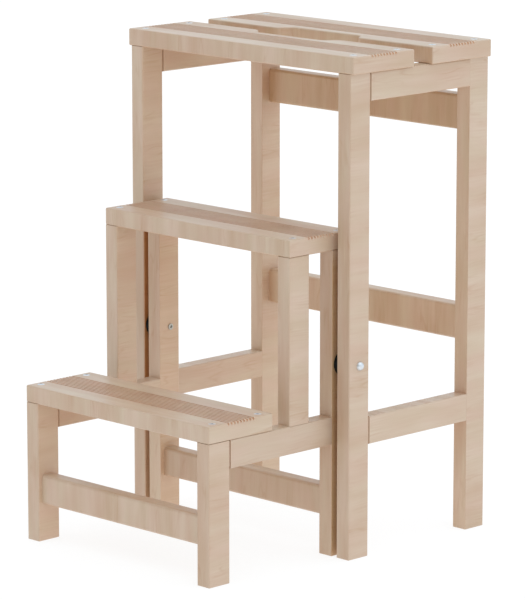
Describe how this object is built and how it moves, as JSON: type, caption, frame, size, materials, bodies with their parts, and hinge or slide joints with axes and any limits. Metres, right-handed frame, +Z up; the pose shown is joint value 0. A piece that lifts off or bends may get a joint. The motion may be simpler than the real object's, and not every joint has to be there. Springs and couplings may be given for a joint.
{
  "type": "folding step stool",
  "caption": "Folding wooden mounting stool: grooved treads on a tall frame, and a hinged step frame that swings over to nest inside it.",
  "frame": {"origin": "on the floor, in the middle of the unfolded stool's outline", "axes": "+Z up, +X to the stool's right-hand side as seen by someone climbing it, +Y from the low step towards the back legs"},
  "size_m": [0.4208, 0.484, 0.6615],
  "materials": {
    "frame_wood": "pale birch, planed and clear matt lacquered",
    "tread_wood": "pale birch, grooved, clear matt lacquered",
    "dowel_wood": "raw beech",
    "zinc_steel": "zinc plated, satin",
    "polished_steel": "nickel plated, polished",
    "black_plastic": "black nylon, satin"
  },
  "bodies": {
    "outer_frame": {"outer_front_leg_left": "frame_wood", "outer_rear_leg_left": "frame_wood", "outer_upper_side_rail_left": "frame_wood", "outer_lower_side_rail_left": "frame_wood", "pivot_bolt_left": "polished_steel", "pivot_sleeve_nut_left": "zinc_steel", "pivot_spacer_left": "black_plastic", "outer_front_leg_right": "frame_wood", "outer_rear_leg_right": "frame_wood", "outer_upper_side_rail_right": "frame_wood", "outer_lower_side_rail_right": "frame_wood", "pivot_bolt_right": "polished_steel", "pivot_sleeve_nut_right": "zinc_steel", "pivot_spacer_right": "black_plastic", "rear_upper_rail": "frame_wood", "rear_middle_rail": "frame_wood", "top_slat_front": "tread_wood", "top_slat_rear": "tread_wood", "outer_frame_dowels": "dowel_wood", "outer_tread_screws": "zinc_steel"},
    "step_frame": {"step_front_leg_left": "frame_wood", "step_middle_post_left": "frame_wood", "step_rear_leg_left": "frame_wood", "step_side_rail_left": "frame_wood", "step_front_leg_right": "frame_wood", "step_middle_post_right": "frame_wood", "step_rear_leg_right": "frame_wood", "step_side_rail_right": "frame_wood", "step_front_cross_rail": "frame_wood", "step_rear_cross_rail": "frame_wood", "lower_step_slat": "tread_wood", "middle_step_slat": "tread_wood", "step_frame_dowels": "dowel_wood", "step_tread_screws": "zinc_steel"}
  },
  "joints": [
    {"name": "step_frame_fold", "type": "hinge", "parent": "outer_frame", "child": "step_frame", "pos_m": [0, -0.0005, 0.2568], "axis": [-1, 0, 0], "range_deg": [0, 180]}
  ]
}
